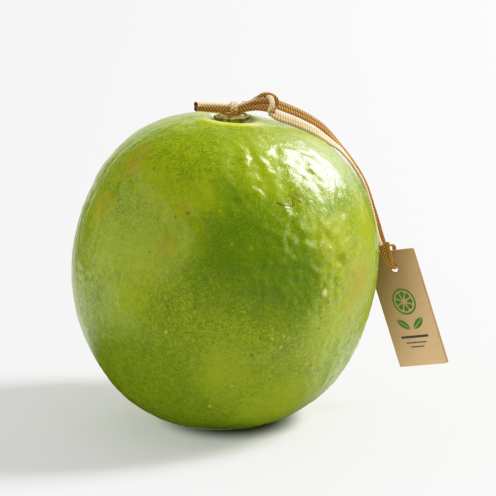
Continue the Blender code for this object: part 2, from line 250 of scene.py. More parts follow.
def noise_at(tree, place, scale, detail=3.0, roughness=0.5):
    node = tree.nodes.new("ShaderNodeTexNoise")
    feed(tree, node.inputs["Vector"], place)
    node.inputs["Scale"].default_value = scale
    node.inputs["Detail"].default_value = detail
    node.inputs["Roughness"].default_value = roughness
    return node.outputs["Fac"]


def cells_at(tree, place, scale, jitter=1.0):
    """Distance to the nearest of scattered points, and a random colour for each point."""
    node = tree.nodes.new("ShaderNodeTexVoronoi")
    feed(tree, node.inputs["Vector"], place)
    node.inputs["Scale"].default_value = scale
    node.inputs["Randomness"].default_value = jitter
    return node.outputs["Distance"], node.outputs["Color"]


def eased_range(tree, value, start, stop, at_start=0.0, at_stop=1.0):
    """A value that goes smoothly from at_start to at_stop between start and stop."""
    node = tree.nodes.new("ShaderNodeMapRange")
    node.interpolation_type = "SMOOTHSTEP"
    for socket, given in zip(node.inputs, (value, start, stop, at_start, at_stop)):
        feed(tree, socket, given)
    return node.outputs[0]


def colour_mix(tree, share, under, over, blend="MIX"):
    node = tree.nodes.new("ShaderNodeMix")
    node.data_type = "RGBA"
    node.blend_type = blend
    feed(tree, node.inputs[0], share)
    feed(tree, node.inputs[6], under if isinstance(under, bpy.types.NodeSocket) else (*under, 1))
    feed(tree, node.inputs[7], over if isinstance(over, bpy.types.NodeSocket) else (*over, 1))
    return node.outputs[2]


def spot(tree, place, middle, radius, core=0.4):
    """1 in the spot's core, falling smoothly to 0 at its radius."""
    away = vector_of(tree, "DISTANCE", place, tuple(middle), output=1)
    return eased_range(tree, away, core * radius, radius, 1.0, 0.0)


def spots(tree, place, marks, core=0.4):
    """All these marks of the rind in one mask."""
    mask = 0.0
    for azimuth, latitude, radius in marks:
        mark = spot(tree, place, on_rind(azimuth, latitude), radius * MM, core)
        mask = sum_of(tree, "MAXIMUM", mark, mask)
    return mask


def crease(tree, place, start, end, width):
    """1 on the line from start to end, falling smoothly to 0 at width from it."""
    along = end - start
    offset = vector_of(tree, "SUBTRACT", place, tuple(start))
    step = tuple(along / along.length_squared)
    share = vector_of(tree, "DOT_PRODUCT", offset, step, output=1)
    share = sum_of(tree, "MINIMUM", sum_of(tree, "MAXIMUM", share, 0.0), 1.0)
    foot = tree.nodes.new("ShaderNodeVectorMath")
    foot.operation = "SCALE"
    foot.inputs[0].default_value = along
    feed(tree, foot.inputs["Scale"], share)
    away = vector_of(tree, "DISTANCE", offset, foot.outputs[0], output=1)
    return eased_range(tree, away, 0.0, width, 1.0, 0.0)


def creases(tree, place, marks, width):
    """A bent crease through these marks of the rind."""
    places = [on_rind(azimuth, latitude) for azimuth, latitude in marks]
    mask = 0.0
    for start, end in zip(places, places[1:]):
        mask = sum_of(tree, "MAXIMUM", crease(tree, place, start, end, width), mask)
    return mask


def bump(tree, height, distance, strength=1.0, under=None):
    node = tree.nodes.new("ShaderNodeBump")
    node.inputs["Strength"].default_value = strength
    node.inputs["Distance"].default_value = distance
    feed(tree, node.inputs["Height"], height)
    if under is not None:
        feed(tree, node.inputs["Normal"], under)
    return node.outputs[0]


LIME_DEEP = (0.085, 0.180, 0.0004)
LIME_GREEN = (0.260, 0.365, 0.0008)
LIME_LIGHT = (0.36, 0.44, 0.002)
LIME_YELLOW = (0.47, 0.46, 0.003)
LIME_BLUSH = (0.36, 0.29, 0.0008)
BASIN_LIP_HIGHLIGHT = (0.86, 0.90, 0.10)
COLLAR_SHADE = (0.05, 0.06, 0.008)
DOT_BROWN = (0.20, 0.085, 0.003)
SCAR_DARK = (0.15, 0.14, 0.0005)
SCAR_GOLD = (0.22, 0.20, 0.0005)
SPECK_TAN = (0.60, 0.40, 0.09)
SCAB_PALE = (0.80, 0.68, 0.32)
SCAB_RADIUS = 0.75 * MM
PIT_DEPTH = 0.03 * MM
GRAIN_DEPTH = 0.005 * MM
SCAR_DEPTH = 0.035 * MM
SCAR_PATCH_DEPTH = 0.025 * MM
RAISED_HEIGHT = 0.025 * MM
# Where the painted highlight on the basin's lip and the painted shade round the button
# begin and end, from the stem's middle.
LIP_INNER, LIP_OUTER = 4.4 * MM, 6.8 * MM
COLLAR_INNER, COLLAR_OUTER = 2.9 * MM, 3.9 * MM
BEHIND_INNER, BEHIND_OUTER = 3.0 * MM, 5.6 * MM

lime_skin, tree, shader = new_material("lime_skin", 0.42)
place = object_place(tree)
broad = noise_at(tree, place, 75.0, 3.0, 0.55)
mottle = noise_at(tree, place, 420.0, 4.0, 0.6)
grain = noise_at(tree, place, 2600.0, 2.0, 0.6)
gland, gland_tint = cells_at(tree, place, 1900.0)
freckle, freckle_tint = cells_at(tree, place, 520.0)
wander = tree.nodes.new("ShaderNodeTexNoise")
feed(tree, wander.inputs["Vector"], place)
wander.inputs["Scale"].default_value = 160.0
wander.inputs["Detail"].default_value = 4.0
strayed = vector_of(tree, "SUBTRACT", wander.outputs["Color"], (0.5, 0.5, 0.5))
strayed = vector_of(tree, "MULTIPLY_ADD", strayed, (5 * MM, 5 * MM, 5 * MM), place)
skin = colour_mix(tree, eased_range(tree, broad, 0.30, 0.70, 0.55, 1.0), LIME_DEEP, LIME_GREEN)
stem_line = vector_of(tree, "SUBTRACT", place, (STEM_X, STEM_Y, 0))
stem_line = vector_of(tree, "MULTIPLY", stem_line, (1.0, 1.0, 0.0))
from_stem = vector_of(tree, "LENGTH", stem_line, output=1)
_, depth, height = parts_of(tree, place)
upper_half = sum_of(tree, "GREATER_THAN", height, FRUIT_RADIUS)
from_top = vector_of(tree, "DISTANCE", place, tuple(on_rind(0, 90)), output=1)
crown = eased_range(tree, from_top, 3 * MM, 15 * MM, 0.62, 0.0)
skin = colour_mix(tree, crown, skin, LIME_LIGHT)
blotch = noise_at(tree, place, 1300.0, 3.0, 0.6)
speck = noise_at(tree, place, 3700.0, 2.0, 0.7)
for layer, start, stop, strength, colour in (
    (mottle, 0.42, 0.75, 0.55, LIME_LIGHT),
    (blotch, 0.5, 0.7, 0.55, LIME_LIGHT),
    (blotch, 0.5, 0.3, 0.45, LIME_DEEP),
    (speck, 0.5, 0.7, 0.9, LIME_YELLOW),
    (speck, 0.5, 0.3, 0.8, LIME_DEEP),
    (gland_tint, 0.2, 0.9, 0.3, LIME_DEEP),
):
    skin = colour_mix(tree, eased_range(tree, layer, start, stop, 0.0, strength), skin, colour)
# Zones of deeper, paler and yellower skin, with painted shade and painted light among them.
for zones, strength, colour in (
    (DEEP_AND_SHADED_ZONES, 0.78, LIME_DEEP),
    (PAINTED_SHADE_ZONES, 0.45, LIME_DEEP),
    (PALE_AND_LIT_ZONES, 0.55, LIME_LIGHT),
    (YELLOW_ZONES, 0.42, LIME_YELLOW),
):
    mask = sum_of(tree, "MULTIPLY", spots(tree, strayed, zones, 0.0), strength)
    skin = colour_mix(tree, mask, skin, colour)
blush = spots(tree, strayed, BROWN_BLUSHES, 0.0)
blush = sum_of(tree, "MULTIPLY", blush, eased_range(tree, mottle, 0.3, 0.6, 0.2, 0.85))
skin = colour_mix(tree, blush, skin, LIME_BLUSH)
gland_dot = eased_range(tree, gland, 0.10, 0.42, 0.18, 0.0)
skin = colour_mix(tree, gland_dot, skin, LIME_YELLOW)
freckle_dot = eased_range(tree, freckle, 0.08, 0.2, 0.3, 0.0)
freckle_dot = sum_of(tree, "MULTIPLY", freckle_dot, eased_range(tree, freckle_tint, 0.5, 0.8))
skin = colour_mix(tree, freckle_dot, skin, LIME_YELLOW)
for marks, strength, colour in ((DARK_DOTS, 0.85, DOT_BROWN), (TAN_SPECKS, 0.75, SPECK_TAN)):
    mask = sum_of(tree, "MULTIPLY", spots(tree, place, marks), strength)
    skin = colour_mix(tree, mask, skin, colour)
bent = noise_at(tree, place, 1300.0, 2.0, 0.5)
bent = vector_of(tree, "MULTIPLY_ADD", bent, (0.5 * MM, 0.3 * MM, 0.5 * MM), place)
bent = vector_of(tree, "SUBTRACT", bent, (0.25 * MM, 0.15 * MM, 0.25 * MM))
scar = creases(tree, bent, SCAR, 0.34 * MM)
scar_patch = creases(tree, bent, SCAR_PATCH, 0.6 * MM)
scar_line = creases(tree, bent, SCAR_LINE, 0.2 * MM)
scar_lip = creases(tree, bent, SCAR_LIP, 0.3 * MM)
scar_arch = creases(tree, bent, SCAR_ARCH, 0.22 * MM)
skin = colour_mix(tree, scar_patch, skin, SCAR_GOLD)
skin = colour_mix(tree, sum_of(tree, "MULTIPLY", scar_line, 0.7), skin, SCAR_GOLD)
skin = colour_mix(tree, scar, skin, SCAR_DARK)
scab = spot(tree, bent, on_rind(*SCAB), SCAB_RADIUS)
skin = colour_mix(tree, sum_of(tree, "MULTIPLY", scab, 0.55), skin, SCAB_PALE)
# A painted highlight on the front of the basin's lip, on the side towards the camera.
lip_highlight = eased_range(tree, from_stem, LIP_INNER, LIP_OUTER, 0.9, 0.0)
lip_highlight = sum_of(tree, "MULTIPLY", lip_highlight, upper_half)
in_front = eased_range(tree, depth, 0.0, -3.5 * MM, 0.15, 1.0)
skin = colour_mix(tree, sum_of(tree, "MULTIPLY", lip_highlight, in_front), skin, BASIN_LIP_HIGHLIGHT)
# Painted shade in the basin round the button, wider behind it.
collar_shade = eased_range(tree, from_stem, COLLAR_INNER, COLLAR_OUTER, 0.9, 0.0)
behind = eased_range(tree, from_stem, BEHIND_INNER, BEHIND_OUTER, 0.85, 0.0)
behind = sum_of(tree, "MULTIPLY", behind, sum_of(tree, "SUBTRACT", 1.0, in_front))
collar_shade = sum_of(tree, "MULTIPLY", sum_of(tree, "MAXIMUM", collar_shade, behind), upper_half)
skin = colour_mix(tree, collar_shade, skin, COLLAR_SHADE)
feed(tree, shader.inputs["Base Color"], skin)
feed(tree, shader.inputs["Roughness"], eased_range(tree, mottle, 0.3, 0.7, 0.38, 0.5))
shader.inputs["Specular IOR Level"].default_value = 0.1
shader.inputs["Coat Weight"].default_value = 0.6
shader.inputs["Coat Roughness"].default_value = 0.21
pits = eased_range(tree, gland, 0.0, 0.45, 0.0, 1.0)
relief = bump(tree, pits, PIT_DEPTH)
relief = bump(tree, grain, GRAIN_DEPTH, under=relief)
relief = bump(tree, scar, -SCAR_DEPTH, under=relief)
relief = bump(tree, scar_patch, -SCAR_PATCH_DEPTH, under=relief)
raised = sum_of(tree, "ADD", scar_arch, sum_of(tree, "ADD", scar_lip, scab))
relief = bump(tree, raised, RAISED_HEIGHT, under=relief)
feed(tree, shader.inputs["Normal"], relief)
feed(tree, shader.inputs["Coat Normal"], relief)
rind.data.materials.append(lime_skin)
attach(rind, "root")
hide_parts("fruit")


# The stem button. The dry woody disc that is left of the calyx when the lime is picked,
# with a ring worn into it and the short stub of the stalk standing in its middle.
BUTTON_BOTTOM = 50.2 * MM
BUTTON_SIDES = 60
BUTTON_STEPS = (
    (2.95, 0.08),
    (3.0, 0.31),
    (2.82, 0.45),
    (2.5, 0.43),
    (2.25, 0.23),
    (1.95, 0.35),
    (1.15, 0.33),
    (0.88, 0.38),
    (0.85, 0.65),
    (0.6, 0.75),
    (0.15, 0.77),
)
BUTTON_UNDERSIDE = 2.75
BUTTON_ROOT = 0.6
WOOD_LUMP = 0.11 * MM
WOOD_SEED = 2
WOOD_DARK = (0.045, 0.04, 0.003)
WOOD_OLIVE = (0.24, 0.21, 0.03)
WOOD_CREAM = (0.76, 0.70, 0.20)

bpy.ops.object.select_all(action="DESELECT")
bpy.ops.mesh.primitive_circle_add(
    vertices=BUTTON_SIDES,
    radius=BUTTON_UNDERSIDE * MM,
    fill_type="NGON",
    location=(STEM_X, STEM_Y, BUTTON_BOTTOM - BUTTON_ROOT * MM),
)
button = bpy.context.object
button.name = "stem_button_wood"
bpy.ops.object.transform_apply(location=True)
bpy.ops.object.mode_set(mode="EDIT")
bpy.ops.mesh.select_all(action="SELECT")
radius, height = BUTTON_UNDERSIDE, -BUTTON_ROOT
for next_radius, next_height in BUTTON_STEPS:
    rise = (0, 0, (next_height - height) * MM)
    bpy.ops.mesh.extrude_region_move(TRANSFORM_OT_translate={"value": rise})
    middle = (STEM_X, STEM_Y, BUTTON_BOTTOM + next_height * MM)
    scale = next_radius / radius
    bpy.ops.transform.resize(value=(scale, scale, 1), center_override=middle)
    radius, height = next_radius, next_height
bpy.ops.mesh.select_all(action="SELECT")
bpy.ops.mesh.normals_make_consistent(inside=False)
bpy.ops.object.mode_set(mode="OBJECT")
smoother = button.modifiers.new("smoother", "SUBSURF")
smoother.levels = smoother.render_levels = 2
bpy.ops.object.modifier_apply(modifier="smoother")
stem_axis = Vector((STEM_X, STEM_Y, 0))
# Without a seed of its own this noise changes with the time of day.
noise.seed_set(WOOD_SEED)
for vertex in button.data.vertices:
    lump = noise.noise_vector(vertex.co / (0.9 * MM)) * WOOD_LUMP
    out = (vertex.co - stem_axis).to_2d().length / (3 * MM)
    vertex.co += Vector((lump.x * out, lump.y * out, lump.z * 0.7))
bpy.ops.object.shade_smooth()

stem_wood, tree, shader = new_material("stem_wood", 0.75)
place = object_place(tree)
across = vector_of(tree, "SUBTRACT", place, tuple(stem_axis))
across = vector_of(tree, "MULTIPLY", across, (1, 1, 0))
from_axis = vector_of(tree, "LENGTH", across, output=1)
coarse = noise_at(tree, place, 1100.0, 4.0, 0.6)
fine = noise_at(tree, place, 5200.0, 3.0, 0.6)
wood = colour_mix(tree, eased_range(tree, coarse, 0.35, 0.62), WOOD_OLIVE, WOOD_CREAM)
wood = colour_mix(tree, eased_range(tree, fine, 0.45, 0.8, 0.0, 0.6), wood, WOOD_DARK)
wandering = sum_of(tree, "MULTIPLY_ADD", coarse, 0.3 * MM, from_axis)
ring = sum_of(tree, "ABSOLUTE", sum_of(tree, "SUBTRACT", wandering, 2.4 * MM))
groove = eased_range(tree, ring, 0.12 * MM, 0.32 * MM, 1.0, 0.0)
wood = colour_mix(tree, sum_of(tree, "MULTIPLY", groove, 0.85), wood, WOOD_DARK)
rim = eased_range(tree, from_axis, 2.75 * MM, 3.0 * MM)
wood = colour_mix(tree, sum_of(tree, "MULTIPLY", rim, 0.85), wood, WOOD_DARK)
feed(tree, shader.inputs["Base Color"], wood)
shader.inputs["Specular IOR Level"].default_value = 0.2
relief = bump(tree, coarse, 0.10 * MM)
feed(tree, shader.inputs["Normal"], bump(tree, fine, 0.05 * MM, under=relief))
button.data.materials.append(stem_wood)
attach(button, "root")
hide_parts("stem_button")


# The two strands. Both halves of one flat tubular braid of tan thread, which leave the
# knot side by side, lie against the fruit's shoulder and hang down its side to the tag.
CORD_WIDTH = 1.65 * MM
CORD_END_WIDTH = 1.1 * MM
CORD_THICKNESS = 0.6 * MM
CORD_SIDES = 60
CORD_ROUNDING = 0.7
RING_SPACING = 0.09 * MM
STITCH_COLUMNS = 8
STITCH_LENGTH = 0.5 * MM
STITCH_HEIGHT = 0.08 * MM
HOLLOW_STEPS = ((0.82, 0.0), (0.62, 0.1), (0.5, 0.7))
# Routes in millimetres, each point with the angle in degrees by which the braid stands
# up from lying flat on the fruit.
BACK_ROUTE = (
    (7.7, 0.75, 52.6, 56),
    (9.5, 1.8, 51.7, 62),
    (11.2, 2.8, 50.8, 60),
    (13.05, 3.9, 49.7, 56),
    (15.3, 5.3, 48.05, 50),
    (16.9, 6.2, 46.4, 44),
    (18.5, 7.0, 44.4, 36),
    (20.1, 7.7, 42.4, 26),
    (21.55, 8.3, 40.3, 16),
    (22.8, 8.8, 38.0, 8),
    (23.65, 9.15, 35.7, 4),
    (24.3, 9.4, 33.6, 2),
    (25.0, 9.6, 31.4, 0),
    (25.65, 9.5, 29.2, 0),
    (26.35, 9.2, 26.9, 0),
)
FRONT_ROUTE = (
    (7.3, -0.3, 51.5, 70),
    (8.65, 0.2, 50.55, 74),
    (11.2, 1.6, 49.3, 70),
    (14.15, 3.5, 47.6, 58),
    (16.95, 5.3, 45.3, 36),
    (18.65, 6.2, 43.8, 22),
    (20.2, 6.8, 41.85, 12),
    (21.3, 7.1, 40.2, 6),
    (22.5, 7.4, 38.05, 4),
    (23.4, 7.7, 35.5, 4),
    (24.05, 7.9, 33.15, 4),
    (24.6, 8.0, 30.9, 4),
    (25.05, 8.0, 28.85, 6),
    (25.7, 7.9, 27.2, 10),
)
# Painted light on the cord: paler where a braid is painted as lit, darker as if in shade.
THREAD_DARK = (0.11, 0.035, 0.002)
THREAD_SHADE = (0.78, 0.47, 0.18)
THREAD_TAN = (0.56, 0.27, 0.04)
THREAD_LIGHT = (0.60, 0.30, 0.045)
THREAD_LIT = (1.0, 0.88, 0.68)
TOP_LIGHT = 0.45


def even_route(rows, closed=False):
    """Evenly spaced places and stand angles on a smooth curve through millimetre rows."""
    points = np.array([(*row[:3], row[3] if len(row) > 3 else 0) for row in rows], float)
    if closed:
        around = np.vstack((points[-1:], points, points[:2]))
    else:
        first, last = 2 * points[0] - points[1], 2 * points[-1] - points[-2]
        around = np.vstack((first, points, last))
    curve = []
    for a, b, c, d in zip(around, around[1:], around[2:], around[3:]):
        for t in np.arange(0, 1, 0.05):
            bend = a * (-t + 2 * t**2 - t**3) + b * (2 - 5 * t**2 + 3 * t**3)
            curve.append((bend + c * (t + 4 * t**2 - 3 * t**3) + d * (t**3 - t**2)) / 2)
    curve = np.array([*curve, curve[0] if closed else points[-1]])
    steps = np.linalg.norm(np.diff(curve[:, :3], axis=0), axis=1) * MM
    reached = np.concatenate(([0], np.cumsum(steps)))
    count = max(8, round(reached[-1] / RING_SPACING))
    wanted = np.linspace(0, reached[-1], count + 1)[: count if closed else None]
    even = np.stack([np.interp(wanted, reached, column) for column in curve.T], axis=1)
    return even[:, :3] * MM, np.radians(even[:, 3])


def stitches(along, around):
    """Height of the braid's slanting stitches, 0 to 1, along it and round it in turns."""
    column = around * STITCH_COLUMNS
    number = np.floor(column)
    side = 2 * (column - number) - 1
    slant = np.where(number % 2 == 0, 0.0, 0.5)
    rows = 0.5 + 0.5 * np.cos(2 * math.pi * (along / STITCH_LENGTH + slant + 0.12 * side))
    return rows * (1 - 0.85 * side**4)


def ramp(ends, count):
    """Even steps from the first of two ends to the second, or one value all along."""
    return np.linspace(*(ends if isinstance(ends, tuple) else (ends, ends)), count)


def braid(name, rows, outward, width, thickness, lit_share=0.3, closed=False, hollow_start=False):
    """A flat braid along a route, and the places that its middle goes through.

    outward gives the way that the flat-lying braid's face looks at a place, or is the way
    that it looks at the start, from where it follows the bends. width and the share of
    painted light each hold one value, or a pair for the two ends. The share of painted light
    is 1 for a braid painted as lit and 0 for one painted as in shade.
    """
    places, stands = even_route(rows, closed)
    angles = 2 * math.pi * np.arange(CORD_SIDES) / CORD_SIDES
    side = np.copysign(np.abs(np.cos(angles)) ** CORD_ROUNDING, np.cos(angles))
    up = np.copysign(np.abs(np.sin(angles)) ** CORD_ROUNDING, np.sin(angles))
    around = np.arange(CORD_SIDES) / CORD_SIDES
    stations = zip(places, stands, ramp(width, len(places)), ramp(lit_share, len(places)))
    rings, heights, paleness = [], [], []
    face = outward
    travelled = 0.0
    for index, (place, stand, wide, pale) in enumerate(stations):
        last = index + 1 == len(places)
        following = place if last and not closed else places[(index + 1) % len(places)]
        before = places[index - 1] if closed or index else place
        along = Vector(following - before).normalized()
        if callable(outward):
            face = outward(Vector(place))
        face = (face - along * face.dot(along)).normalized()
        turned = Matrix.Rotation(stand, 3, along) @ face
        across = np.array(along.cross(turned))
        height = stitches(travelled, around)
        flat = np.outer(side * wide / 2, across) + np.outer(up * thickness / 2, turned)
        outwards = flat / np.linalg.norm(flat, axis=1)[:, None]
        rings.append(place + flat + outwards * ((height - 0.7) * STITCH_HEIGHT)[:, None])
        heights.append(height)
        # Painted light: each braid's upper side is painted paler.
        paleness.append(np.clip(pale + TOP_LIGHT * outwards[:, 2], 0, 1))
        if not last:
            travelled += np.linalg.norm(following - place)
    if hollow_start:
        cut, inwards = rings[0], np.array(Vector(places[1] - places[0]).normalized()) * MM
        for share, depth in HOLLOW_STEPS:
            rings.insert(0, places[0] + (cut - places[0]) * share + inwards * depth)
            heights.insert(0, np.full(CORD_SIDES, -depth))
            # The hollow inside a cut end is painted dark, as shade.
            paleness.insert(0, np.zeros(CORD_SIDES))
    points = np.concatenate(rings)
    count = len(rings)
    faces = []
    for index in range(count if closed else count - 1):
        near, far = index * CORD_SIDES, (index + 1) % count * CORD_SIDES
        for start in range(CORD_SIDES):
            end = (start + 1) % CORD_SIDES
            faces.append((near + start, near + end, far + end, far + start))
    if not closed:
        faces.append(tuple(range(CORD_SIDES))[::-1])
        faces.append(tuple(range((count - 1) * CORD_SIDES, count * CORD_SIDES)))
    mesh = bpy.data.meshes.new(name)
    mesh.from_pydata(points.tolist(), [], faces)
    relief = mesh.attributes.new("stitch_height", "FLOAT", "POINT")
    relief.data.foreach_set("value", np.concatenate(heights).astype(np.float32))
    painted_light = mesh.attributes.new("painted_light", "FLOAT", "POINT")
    painted_light.data.foreach_set("value", np.concatenate(paleness).astype(np.float32))
    made = bpy.data.objects.new(name, mesh)
    bpy.context.scene.collection.objects.link(made)
    bpy.ops.object.select_all(action="DESELECT")
    bpy.context.view_layer.objects.active = made
    made.select_set(True)
    bpy.ops.object.mode_set(mode="EDIT")
    bpy.ops.mesh.select_all(action="SELECT")
    bpy.ops.mesh.normals_make_consistent(inside=False)
    bpy.ops.object.mode_set(mode="OBJECT")
    bpy.ops.object.shade_smooth()
    mesh.materials.append(braid_cord)
    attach(made, "root")
    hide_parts("cord")
    return made, places


def off_fruit(place):
    return place - Vector((0, 0, FRUIT_RADIUS))


braid_cord, tree, shader = new_material("braid_cord", 0.6)
place = object_place(tree)
woven = tree.nodes.new("ShaderNodeAttribute")
woven.attribute_name = "stitch_height"
stitch = woven.outputs["Fac"]
fuzz = noise_at(tree, place, 3000.0, 3.0, 0.6)
dye = noise_at(tree, place, 260.0, 2.0, 0.5)
# Painted light: the thread's paleness follows how lit each place is painted.
light_paint = tree.nodes.new("ShaderNodeAttribute")
light_paint.attribute_name = "painted_light"
thread = colour_mix(
    tree, eased_range(tree, light_paint.outputs["Fac"], 0.25, 1.0), THREAD_LIGHT, THREAD_LIT
)
# Painted shade in the stitches' grooves, lighter where the braid is painted as lit.
groove = colour_mix(
    tree, eased_range(tree, light_paint.outputs["Fac"], 0.4, 1.0), THREAD_DARK, THREAD_SHADE
)
thread = colour_mix(tree, eased_range(tree, stitch, 0.0, 0.65), groove, thread)
thread = colour_mix(tree, eased_range(tree, fuzz, 0.4, 0.75, 0.0, 0.22), thread, THREAD_TAN)
thread = colour_mix(tree, eased_range(tree, dye, 0.4, 0.7, 0.0, 0.12), thread, THREAD_TAN)
feed(tree, shader.inputs["Base Color"], thread)
shader.inputs["Specular IOR Level"].default_value = 0.2
shader.inputs["Sheen Weight"].default_value = 0.05
shader.inputs["Sheen Roughness"].default_value = 0.4
feed(tree, shader.inputs["Normal"], bump(tree, fuzz, 0.02 * MM))

# The front strand is painted as lit and the back strand as in shade.
strand_widths = (CORD_WIDTH, CORD_END_WIDTH)
back_strand, back_path = braid(
    "cord_strand_back", BACK_ROUTE, off_fruit, strand_widths, CORD_THICKNESS, lit_share=0.0
)
front_strand, front_path = braid(
    "cord_strand_front", FRONT_ROUTE, off_fruit, strand_widths, CORD_THICKNESS, lit_share=1.0
)


# The knot. Both strands tied together in one overhand knot on the fruit's shoulder: one
# turn goes over the top, and one comes down over its front.
KNOT_ARCH_ROUTE = (
    (5.5, 0.75, 52.6),
    (5.35, 0.75, 53.3),
    (5.85, 0.6, 53.95),
    (6.9, 0.4, 54.2),
    (7.9, 0.35, 53.85),
    (8.35, 0.5, 53.05),
    (8.0, 0.7, 52.3),
)
KNOT_BAND_ROUTE = (
    (6.9, 0.2, 53.9),
    (7.3, -0.65, 53.75),
    (7.55, -1.05, 53.05),
    (7.5, -1.05, 52.3),
    (7.2, -0.75, 51.65),
    (6.9, 0.0, 51.5),
)
KNOT_CORE_ROUTE = (
    (2.9, 0.45, 52.1, 88),
    (4.2, 0.6, 52.3, 88),
    (5.5, 0.7, 53.0, 88),
    (6.8, 0.8, 53.15, 88),
    (8.2, 0.9, 52.4, 88),
)
KNOT_MIDDLE = Vector((6.9, 0.2, 52.8)) * MM
KNOT_BAND_WIDTH = 0.85 * MM


def away_from(middle):
    """Gives the way from this middle to a place, for braids that wrap round it."""
    return lambda place: place - middle


off_knot = away_from(KNOT_MIDDLE)
# Each knot piece is painted partly lit or as in shade by its last value.
braid("cord_knot_arch", KNOT_ARCH_ROUTE, off_knot, CORD_WIDTH, CORD_THICKNESS, lit_share=0.4)
braid("cord_knot_band", KNOT_BAND_ROUTE, off_knot, KNOT_BAND_WIDTH, CORD_THICKNESS, lit_share=0.85)
braid("cord_knot_core", KNOT_CORE_ROUTE, off_fruit, CORD_WIDTH, CORD_THICKNESS, lit_share=0.0)


# The tails and the tie. Both cut ends of the braid lie one on the other over the stem. A
# turn of the cord holds them to the stub of the stalk, and a band binds them together.
TAIL_WIDTH = 1.3 * MM
TAIL_THICKNESS = 0.85 * MM
UPPER_ROUTE = (
    (-4.6, -0.85, 52.68, 0),
    (-3.8, -0.4, 52.6, 0),
    (-2.2, -0.05, 52.45, 0),
    (0.7, 0.0, 52.2, 0),
    (2.1, 0.0, 52.2, 0),
    (3.7, 0.0, 52.65, 0),
    (5.15, 0.1, 53.1, 10),
    (6.6, 0.3, 53.0, 30),
    (8.0, 0.9, 52.5, 55),
)
LOWER_ROUTE = (
    (-4.65, -0.65, 51.93, 0),
    (-3.8, -0.3, 51.85, 0),
    (-2.2, -0.05, 51.7, 0),
    (0.7, 0.0, 51.5, 0),
    (2.1, 0.0, 51.5, 0),
    (3.7, -0.1, 51.8, 0),
    (5.15, -0.3, 52.05, 10),
    (6.6, -0.4, 52.0, 40),
    (8.0, -0.1, 51.6, 70),
)
WRAP_MIDDLE = Vector((1.45, 0, 51.97))
WRAP_HALF_DEPTH = 1.0
WRAP_HALF_HEIGHT = 0.86
WRAP_WIDTH = 1.15 * MM
WRAP_THICKNESS = 0.45 * MM
STUB_TURN_MIDDLE = Vector((1.15, 0.8, 51.08))
STUB_TURN_RADIUS = 1.45
STUB_TURN_WIDTH = 0.6 * MM
STUB_TURN_THICKNESS = 0.55 * MM
TURN_POINTS = 20


def ring_rows(middle, axis, half_a, half_b):
    """A closed turn in the plane across this axis, in millimetre rows."""
    rows = []
    for index in range(TURN_POINTS):
        angle = 2 * math.pi * index / TURN_POINTS
        a, b = half_a * math.cos(angle), half_b * math.sin(angle)
        rows.append(middle + (Vector((0, a, b)) if axis == "X" else Vector((a, b, 0))))
    return rows


# The upper tail is painted lit at its start and shaded towards its end; the lower in shade.
for name, route, lit_share in (
    ("cord_tail_upper", UPPER_ROUTE, (0.85, 0.15)),
    ("cord_tail_lower", LOWER_ROUTE, 0.1),
):
    braid(name, route, off_fruit, TAIL_WIDTH, TAIL_THICKNESS, lit_share, hollow_start=True)
# The band is painted fairly lit; the stub's turn keeps the default painted light.
wrap_rows = ring_rows(WRAP_MIDDLE, "X", WRAP_HALF_DEPTH, WRAP_HALF_HEIGHT)
off_wrap = away_from(WRAP_MIDDLE * MM)
braid("cord_stem_band", wrap_rows, off_wrap, WRAP_WIDTH, WRAP_THICKNESS, lit_share=0.6, closed=True)
turn_rows = ring_rows(STUB_TURN_MIDDLE, "Z", STUB_TURN_RADIUS, STUB_TURN_RADIUS)
off_stub = away_from(STUB_TURN_MIDDLE * MM)
braid("cord_stub_turn", turn_rows, off_stub, STUB_TURN_WIDTH, STUB_TURN_THICKNESS, closed=True)


# The hitch. The looped end of the cord, put through the tag's hole and drawn back over
# its top edge, so that the tag hangs in a lark's head.
TAG_TOP = Vector((27.11, 8.61, 26.01)) * MM
TAG_TURN = tuple(math.radians(angle) for angle in (8.95, -15.19, -39.11))
HITCH_LEFT_ROUTE = (
    (-1.2, -1.5, 0.3),
    (-0.75, -0.3, 0.8),
    (-0.4, 0.8, 0.87),
    (-0.15, 1.8, 0.85),
    (0.0, 2.5, 0.72),
)
HITCH_RIGHT_ROUTE = (
    (0.38, -1.7, 0.62),
    (0.36, -0.6, 0.8),
    (0.35, 0.4, 0.87),
    (0.25, 1.6, 0.87),
    (0.1, 2.5, 0.72),
    (0.0, 2.95, 0.3),
    (0.0, 3.03, 0.0),
    (0.0, 2.95, -0.3),
    (0.05, 2.5, -0.72),
    (0.25, 1.6, -0.87),
    (0.4, 0.6, -0.87),
    (0.5, -0.1, -0.85),
)
HITCH_BIGHT_ROUTE = (
    (0.42, 0.3, -0.87),
    (0.6, -0.4, -0.78),
    (0.75, -0.9, -0.2),
    (0.65, -1.05, 0.4),
    (0.3, -1.1, 0.75),
)
HITCH_WIDTHS = (1.3 * MM, 0.7 * MM)
HITCH_BIGHT_WIDTH = 0.7 * MM
HITCH_THICKNESS = 0.5 * MM

tag_turn = Matrix.Rotation(TAG_TURN[2], 4, "Z") @ Matrix.Rotation(TAG_TURN[1], 4, "Y")
tag_place = Matrix.Translation(TAG_TOP) @ tag_turn @ Matrix.Rotation(TAG_TURN[0], 4, "X")
tag_front = tag_place.to_3x3() @ Vector((0, -1, 0))


def on_tag(rows):
    """Millimetre rows in the object's frame, from ones across, down and out of the tag."""
    return [
        tag_place @ Vector((across * MM, -out * MM, -down * MM)) / MM
        for across, down, out in rows
    ]


